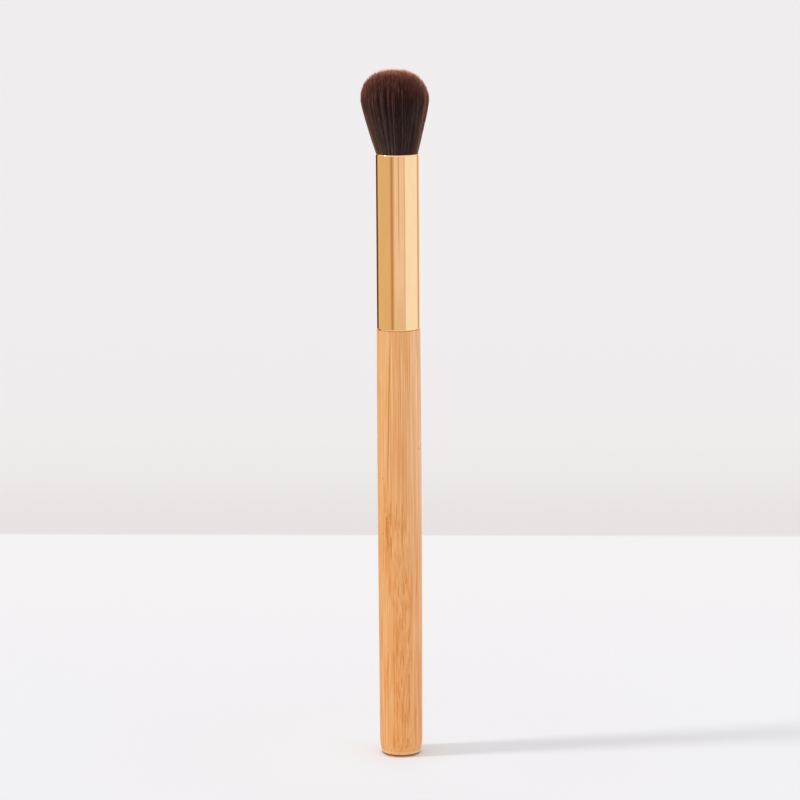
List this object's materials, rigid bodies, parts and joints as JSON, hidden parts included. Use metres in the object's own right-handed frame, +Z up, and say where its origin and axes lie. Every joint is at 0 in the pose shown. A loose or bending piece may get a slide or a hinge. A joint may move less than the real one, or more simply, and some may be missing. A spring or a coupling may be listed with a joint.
{
  "type": "makeup brush",
  "caption": "Concealer buffer brush: a slim round bamboo handle, a gold tube ferrule and a dense dark tuft that flares to a domed end.",
  "frame": {"origin": "centre of the flat foot that the brush stands on", "axes": "+Z up along the handle towards the tuft, -Y the front, +X to the right of the front view"},
  "size_m": [0.0153, 0.0153, 0.1595],
  "materials": {
    "bamboo": "clear satin lacquer on laminated bamboo",
    "glue": "cured cement",
    "gold_metal": "polished, gold anodised",
    "resin": "cured clear amber resin",
    "thread": "cotton thread",
    "filament": "dark brown synthetic filament with reddish tips"
  },
  "bodies": {
    "root": {"handle_left_strip": "bamboo", "handle_middle_strip": "bamboo", "handle_right_strip": "bamboo", "tenon_glue": "glue", "ferrule": "gold_metal", "root_resin": "resin", "binding_thread": "thread", "tuft": "filament"}
  },
  "joints": []
}
